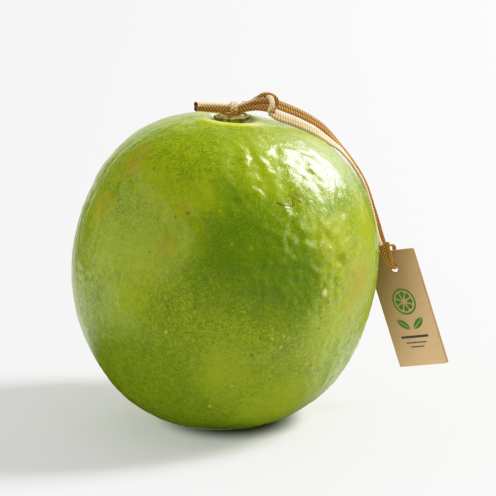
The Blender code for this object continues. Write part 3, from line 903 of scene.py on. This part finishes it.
# The hitch is painted as in shade, and its bight a little lit.
for name, route, way, width, lit_share in (
    ("cord_hitch_left", HITCH_LEFT_ROUTE, tag_front, HITCH_WIDTHS, -0.1),
    ("cord_hitch_right", HITCH_RIGHT_ROUTE, tag_front, HITCH_WIDTHS, -0.1),
    ("cord_hitch_bight", HITCH_BIGHT_ROUTE, -tag_front, HITCH_BIGHT_WIDTH, 0.3),
):
    braid(name, on_tag(route), way, width, HITCH_THICKNESS, lit_share)[0]


# The tag. Stiff brown kraft card, die-cut with small round corners and one punched hole.
TAG_WIDTH = 10.0 * MM
TAG_HEIGHT = 20.5 * MM
TAG_THICKNESS = 0.45 * MM
TAG_CORNER = 0.3 * MM
TAG_EDGE_WEAR = 0.05 * MM
TAG_HOLE_RADIUS = 0.8 * MM
TAG_HOLE_DROP = 3.03 * MM
# KRAFT_BROWN is the card painted in the fruit's shadow; worn ink shows it too.
KRAFT_PALE = (0.80, 0.52, 0.30)
KRAFT_BROWN = (0.17, 0.10, 0.004)
KRAFT_FIBRE = (0.30, 0.17, 0.06)
PUNCHED_EDGE = (0.34, 0.10, 0.03)

bpy.ops.object.select_all(action="DESELECT")
bpy.ops.mesh.primitive_plane_add(
    size=1, location=(0, -TAG_THICKNESS / 2, -TAG_HEIGHT / 2), rotation=(math.pi / 2, 0, 0)
)
card = bpy.context.object
card.name = "tag_card"
card.scale = (TAG_WIDTH, TAG_HEIGHT, 1)
bpy.ops.object.transform_apply(location=True, rotation=True, scale=True)
bpy.ops.object.mode_set(mode="EDIT")
bpy.ops.mesh.select_all(action="SELECT")
bpy.ops.mesh.bevel(offset=TAG_CORNER, segments=4, affect="VERTICES")
bpy.ops.mesh.delete(type="ONLY_FACE")
bpy.ops.mesh.primitive_circle_add(
    vertices=48,
    radius=TAG_HOLE_RADIUS,
    location=(0, -TAG_THICKNESS / 2, -TAG_HOLE_DROP),
    rotation=(math.pi / 2, 0, 0),
)
bpy.ops.mesh.select_all(action="SELECT")
bpy.ops.mesh.fill()
bpy.ops.mesh.extrude_region_move(TRANSFORM_OT_translate={"value": (0, TAG_THICKNESS, 0)})
bpy.ops.mesh.select_all(action="SELECT")
bpy.ops.mesh.normals_make_consistent(inside=False)
bpy.ops.object.mode_set(mode="OBJECT")
worn = card.modifiers.new("worn", "BEVEL")
worn.width = TAG_EDGE_WEAR
worn.segments = 2
worn.limit_method = "ANGLE"
bpy.ops.object.modifier_apply(modifier="worn")
card.data.transform(tag_place)
bpy.ops.object.select_all(action="DESELECT")
card.select_set(True)
bpy.ops.object.shade_smooth_by_angle(angle=math.radians(35))

kraft_card, tree, shader = new_material("kraft_card", 0.8)
place = object_place(tree)
cloudy = noise_at(tree, place, 180.0, 3.0, 0.6)
pulp = noise_at(tree, place, 1500.0, 4.0, 0.65)
fibre_place = vector_of(tree, "MULTIPLY", place, (1.0, 1.0, 0.22))
fibres = noise_at(tree, fibre_place, 6500.0, 3.0, 0.7)
# Painted shadow of the fruit: the card is painted darker towards its upper left.
fruit_shadow_way = tag_place.to_3x3() @ Vector((0.889, 0, -0.457))
fruit_shadow_reach = vector_of(tree, "SUBTRACT", place, tuple(TAG_TOP))
fruit_shadow_reach = vector_of(tree, "DOT_PRODUCT", fruit_shadow_reach, tuple(fruit_shadow_way), output=1)
fruit_shadow_reach = sum_of(tree, "MULTIPLY_ADD", cloudy, 2 * MM, fruit_shadow_reach)
fruit_shadow = eased_range(tree, fruit_shadow_reach, -4 * MM, 11.5 * MM)
card_colour = colour_mix(tree, fruit_shadow, KRAFT_BROWN, KRAFT_PALE)
specked = eased_range(tree, pulp, 0.55, 0.8, 0.0, 0.35)
card_colour = colour_mix(tree, specked, card_colour, KRAFT_FIBRE)
fibred = eased_range(tree, fibres, 0.6, 0.85, 0.0, 0.5)
card_colour = colour_mix(tree, fibred, card_colour, KRAFT_FIBRE)
across_way = tag_place.to_3x3() @ Vector((1, 0, 0))
cut_edge = vector_of(tree, "SUBTRACT", place, tuple(TAG_TOP))
cut_edge = vector_of(tree, "DOT_PRODUCT", cut_edge, tuple(across_way), output=1)
cut_edge = eased_range(tree, sum_of(tree, "ABSOLUTE", cut_edge), 4.9 * MM, 4.98 * MM, 0.0, 0.85)
card_colour = colour_mix(tree, cut_edge, card_colour, KRAFT_FIBRE)
hole_middle = tag_place @ Vector((0, 0, -TAG_HOLE_DROP))
hole_rim = spot(tree, place, hole_middle, 1.05 * MM, 0.8)
hole_rim = sum_of(tree, "MULTIPLY", hole_rim, 0.8)
card_colour = colour_mix(tree, hole_rim, card_colour, PUNCHED_EDGE)
feed(tree, shader.inputs["Base Color"], card_colour)
relief = bump(tree, pulp, 0.015 * MM)
feed(tree, shader.inputs["Normal"], bump(tree, fibres, 0.01 * MM, under=relief))
card.data.materials.append(kraft_card)
card.visible_shadow = False
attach(card, "root")
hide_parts("tag")


# The print on the tag. A citrus wheel and two leaves in green ink over three dark rules,
# screen printed: the ink stands a little proud of the card's front.
INK_HEIGHT = 0.012 * MM
WHEEL_DOWN = 9.0
WHEEL_ACROSS = 0.0
WHEEL_RADIUS = 2.35
WHEEL_RIND = 0.32
WEDGES = 8
WEDGE_IN = 0.42
WEDGE_OUT = 1.78
WEDGE_SPREAD = 0.92
WEDGE_ROUNDING = 0.16
WEDGE_HALF_ANGLE = 20
WEDGE_ARC_STEPS = 6
LEAVES = ((-1.55, 13.0, 38), (1.55, 13.0, -38))
LEAF_LENGTH = 3.0
LEAF_WIDTH = 1.15
LEAF_VEIN = 0.06
RULES = ((15.3, 5.6, 0.42), (16.35, 4.2, 0.2), (17.1, 2.8, 0.2))
INK_GREEN = (0.045, 0.20, 0.003)
INK_DARK = (0.03, 0.028, 0.022)


def ink_material(name, colour):
    ink, tree, shader = new_material(name, 0.55)
    place = object_place(tree)
    worn = noise_at(tree, place, 2400.0, 3.0, 0.6)
    tone = colour_mix(tree, eased_range(tree, worn, 0.5, 0.8, 0.0, 0.6), colour, KRAFT_BROWN)
    feed(tree, shader.inputs["Base Color"], tone)
    feed(tree, shader.inputs["Normal"], bump(tree, worn, 0.01 * MM))
    return ink


def printed(name, outlines, ink):
    """Flat inked shapes on the card, each given by its corners across and down it."""
    bpy.ops.object.select_all(action="DESELECT")
    made = None
    for outline in outlines:
        bpy.ops.mesh.primitive_circle_add(vertices=len(outline), radius=MM, fill_type="NGON")
        shape = bpy.context.object
        for vertex, (across, down) in zip(shape.data.vertices, outline):
            vertex.co = (across * MM, -TAG_THICKNESS / 2 - INK_HEIGHT, -down * MM)
        if made:
            made.select_set(True)
            bpy.context.view_layer.objects.active = made
            bpy.ops.object.join()
        else:
            made = shape
            made.name = name
    bpy.ops.object.mode_set(mode="EDIT")
    bpy.ops.mesh.select_all(action="SELECT")
    bpy.ops.mesh.extrude_region_move(TRANSFORM_OT_translate={"value": (0, 1.5 * INK_HEIGHT, 0)})
    bpy.ops.mesh.select_all(action="SELECT")
    bpy.ops.mesh.normals_make_consistent(inside=False)
    bpy.ops.object.mode_set(mode="OBJECT")
    made.data.transform(tag_place)
    made.data.materials.append(ink)
    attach(made, "root")
    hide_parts("tag")
    return made


def turned(points, angle, across, down):
    """Corners turned by an angle about their origin, then moved across and down the card."""
    cosine, sine = math.cos(angle), math.sin(angle)
    return [(across + x * cosine - y * sine, down + x * sine + y * cosine) for x, y in points]


steps = [math.radians(7.5 * index) for index in range(49)]
rim = [(math.cos(angle) * WHEEL_RADIUS, math.sin(angle) * WHEEL_RADIUS) for angle in steps]
inner = WHEEL_RADIUS - WHEEL_RIND
rim += [(math.cos(angle) * inner, math.sin(angle) * inner) for angle in reversed(steps)]
wedge = [(0.0, WEDGE_IN)]
for index in range(WEDGE_ARC_STEPS + 1):
    share = 2 * index / WEDGE_ARC_STEPS - 1
    angle = math.radians(WEDGE_HALF_ANGLE * share)
    bulge = WEDGE_OUT - WEDGE_ROUNDING * abs(share)
    wedge.append((math.sin(angle) * bulge * WEDGE_SPREAD, math.cos(angle) * bulge))
shapes = [turned(rim, 0, WHEEL_ACROSS, WHEEL_DOWN)]
for index in range(WEDGES):
    angle = 2 * math.pi * index / WEDGES
    shapes.append(turned(wedge, angle, WHEEL_ACROSS, WHEEL_DOWN))
for across, down, lean in LEAVES:
    side = [(t / 10 - 0.5, 0.5 * math.sin(math.pi * t / 10) ** 0.8) for t in range(11)]
    for half in (1, -1):
        vein = half * LEAF_VEIN
        leaf = [(x * LEAF_LENGTH, half * y * LEAF_WIDTH + vein) for x, y in side]
        leaf += [(LEAF_LENGTH / 2, vein), (-LEAF_LENGTH / 2, vein)]
        shapes.append(turned(leaf, math.radians(lean), across, down))
green_ink = ink_material("green_ink", INK_GREEN)
dark_ink = ink_material("dark_ink", INK_DARK)
wheel_print = printed("tag_print_green", shapes, green_ink)
rules = []
for down, length, height in RULES:
    half, rise = length / 2, height / 2
    corner = ((-half, -rise), (-half, rise), (half, rise), (half, -rise))
    rules.append(turned(corner, 0, 0, down))
rule_print = printed("tag_print_dark", rules, dark_ink)

for strand, path in ((back_strand, back_path), (front_strand, front_path)):
    length = float(np.linalg.norm(np.diff(path, axis=0), axis=1).sum())


# The studio. A white sweep with soft boxes round it: it isn't part of the object.
# The fruit's contact shadow is painted on the floor where the fruit stands, and the floor
# is painted brighter towards the right, as painted light.
FLOOR_SIZE = 2.4
SWEEP_RISE = 0.7
SWEEP_CURVE = 0.35
FLOOR_LEFT = (0.845, 0.845, 0.85)
FLOOR_RIGHT = (0.95, 0.95, 0.95)
FLOOR_SHADE = (0.03, 0.05, 0.004)
CONTACT_INNER, CONTACT_OUTER = 6.6 * MM, 13.4 * MM
PALER_FROM, PALER_TO = -80 * MM, 120 * MM
AIR_BRIGHTNESS = 0.3

bpy.ops.object.select_all(action="DESELECT")
bpy.ops.mesh.primitive_plane_add(size=FLOOR_SIZE)
sweep = bpy.context.object
sweep.name = "floor_sweep"
bpy.ops.object.mode_set(mode="EDIT")
bpy.ops.mesh.select_all(action="DESELECT")
bpy.ops.object.mode_set(mode="OBJECT")
for edge in sweep.data.edges:
    edge.select = all(sweep.data.vertices[i].co.y > 0 for i in edge.vertices)
bpy.ops.object.mode_set(mode="EDIT")
bpy.ops.mesh.select_mode(type="EDGE")
bpy.ops.mesh.extrude_region_move(TRANSFORM_OT_translate={"value": (0, 0, SWEEP_RISE)})
bpy.ops.mesh.select_all(action="DESELECT")
bpy.ops.object.mode_set(mode="OBJECT")
for edge in sweep.data.edges:
    ends = [sweep.data.vertices[i].co for i in edge.vertices]
    edge.select = all(end.y > 0 and end.z < SWEEP_RISE / 2 for end in ends)
bpy.ops.object.mode_set(mode="EDIT")
bpy.ops.mesh.bevel(offset=SWEEP_CURVE, segments=16)
bpy.ops.object.mode_set(mode="OBJECT")
bpy.ops.object.shade_smooth()
sweep_white, tree, shader = new_material("sweep_white", 1.0)
place = object_place(tree)
# Painted contact shadow where the fruit stands.
contact_shadow = vector_of(tree, "DISTANCE", place, (1.0 * MM, 0, 0), output=1)
contact_shadow = eased_range(tree, contact_shadow, CONTACT_INNER, CONTACT_OUTER)
# Painted light: the floor is painted brighter towards the right.
lit_rightward = eased_range(tree, parts_of(tree, place)[0], PALER_FROM, PALER_TO)
floor_colour = colour_mix(tree, lit_rightward, FLOOR_LEFT, FLOOR_RIGHT)
floor_colour = colour_mix(tree, contact_shadow, FLOOR_SHADE, floor_colour)
feed(tree, shader.inputs["Base Color"], floor_colour)
shader.inputs["Specular IOR Level"].default_value = 0.0
sweep.data.materials.append(sweep_white)


def towards(azimuth, elevation):
    """The way to a place at this azimuth from +X towards +Y and this elevation."""
    return Vector(directions([(azimuth, elevation)])[0])


def soft_box(name, azimuth, elevation, distance, size, radiance, gloss=True, lit=True):
    """A rectangular soft box that faces the fruit. radiance is its brightness."""
    light = bpy.data.lights.new(name, "AREA")
    light.shape = "RECTANGLE"
    light.size, light.size_y = size
    light.energy = radiance * math.pi * size[0] * size[1]
    box = bpy.data.objects.new(name, light)
    bpy.context.scene.collection.objects.link(box)
    way = towards(azimuth, elevation)
    box.location = Vector((0, 0, FRUIT_RADIUS)) + way * distance
    box.rotation_euler = way.to_track_quat("Z", "Y").to_euler()
    box.visible_glossy = gloss
    box.visible_diffuse = lit
    box.visible_camera = False
    return box


soft_box("overhead_soft_box", 60, 80, 1.1, (1.6, 1.6), 0.15, gloss=False)
overhead_fill = soft_box("overhead_fill", 60, 80, 1.1, (1.6, 1.6), 1.9, gloss=False)
overhead_fill.data.use_shadow = False
soft_box("right_soft_box", 10, 38, 1.6, (0.38, 0.8), 23.2, gloss=False)
for name, size in (("left_panel", (1.18, 0.49)), ("left_panel_core", (1.02, 0.35))):
    left_panel = soft_box(name, 195, 20, 0.6, size, 0.7)
    left_panel.data.use_shadow = False
soft_box("right_panel", -2, 23, 0.6, (0.40, 0.30), 2.5, lit=False)
key_box = soft_box("key_soft_box", 39.5, 37.7, 0.7, (0.46, 0.385), 17.0, lit=False)
key_box.data.shape = "ELLIPSE"

world = bpy.data.worlds.new("studio_air")
world.use_nodes = True
world.node_tree.nodes["Background"].inputs["Color"].default_value = (1, 1, 1, 1)
world.node_tree.nodes["Background"].inputs["Strength"].default_value = AIR_BRIGHTNESS
world.cycles_visibility.glossy = False
bpy.context.scene.world = world

# Black cards stand behind the fruit, and one with soft edges lies in front of it and under
# it. Only gloss sees them.
FLAG_BLACK = (0.004, 0.004, 0.004)
# The soft card's front part fades out between these places along Y.
FLAG_FRONT, FLAG_BACK = -44 * MM, -26 * MM
# Each patch that it covers in millimetres, with its radius, its core and its share.
FLAG_PATCHES = (
    ((-16, -11, 0), 38, 0.6, 1.0),
    ((0, -18, 0), 34, 0.3, 1.0),
    ((95, 50, 0), 60, 0.3, 0.6),
)
flag_materials = []
for name in ("flag_black", "flag_soft"):
    black, tree, shader = new_material(name, 1.0)
    shader.inputs["Base Color"].default_value = (*FLAG_BLACK, 1)
    shader.inputs["Specular IOR Level"].default_value = 0.0
    flag_materials.append(black)
place = object_place(tree)
cover = eased_range(tree, parts_of(tree, place)[1], FLAG_FRONT, FLAG_BACK, 1.0, 0.0)
for middle, radius, core, share in FLAG_PATCHES:
    patch = spot(tree, place, Vector(middle) * MM, radius * MM, core)
    cover = sum_of(tree, "MAXIMUM", cover, sum_of(tree, "MULTIPLY", patch, share))
feed(tree, shader.inputs["Alpha"], cover)
FLAGS = (
    ("floor_flag", (1.6, 1.3), (0, -0.387, 0.002), (0, 0, 0)),
    ("back_left_flag", (0.085, 0.10), (-0.114, 0.085, 0.05), (math.pi / 2, 0, math.radians(46))),
    ("back_right_flag", (0.11, 0.038), (0.096, 0.1, 0.021), (math.pi / 2, 0, math.radians(-35))),
)
for name, size, location, turn in FLAGS:
    bpy.ops.object.select_all(action="DESELECT")
    bpy.ops.mesh.primitive_plane_add(size=1, location=location, rotation=turn)
    flag = bpy.context.object
    flag.name = name
    flag.scale = (*size, 1)
    bpy.ops.object.transform_apply(location=True, rotation=True, scale=True)
    flag.visible_camera = flag.visible_diffuse = flag.visible_shadow = False
    flag.data.materials.append(flag_materials[name == "floor_flag"])

# The picture's brightest tones run out softly instead of clipping.
SHOULDER_WHITE = 1.6
SHOULDER = ((0.2, 0.32), (0.4, 0.64), (0.55, 0.83), (0.7, 0.93), (0.85, 0.985))
picture = bpy.context.scene.view_settings
picture.view_transform = "Standard"
picture.use_curve_mapping = True
picture.curve_mapping.white_level = (SHOULDER_WHITE,) * 3
shoulder = picture.curve_mapping.curves[3]
for at, value in SHOULDER:
    shoulder.points.new(at, value)
shoulder.points[-1].location = (1.0, 0.997)
picture.curve_mapping.update()


# The camera. It looks along +Y and 15 degrees down, from 400 mm away.
CAMERA_TARGET = Vector((3.71, 0, 28.78)) * MM
CAMERA_DISTANCE = 400 * MM
CAMERA_ELEVATION = math.radians(15)
CAMERA_LENS = 179.13

camera_data = bpy.data.cameras.new("camera")
camera_data.lens = CAMERA_LENS
camera = bpy.data.objects.new("camera", camera_data)
bpy.context.scene.collection.objects.link(camera)
back_off = Vector((0, -math.cos(CAMERA_ELEVATION), math.sin(CAMERA_ELEVATION)))
camera.location = CAMERA_TARGET + back_off * CAMERA_DISTANCE
camera.rotation_euler = (math.pi / 2 - CAMERA_ELEVATION, 0, 0)
bpy.context.scene.camera = camera
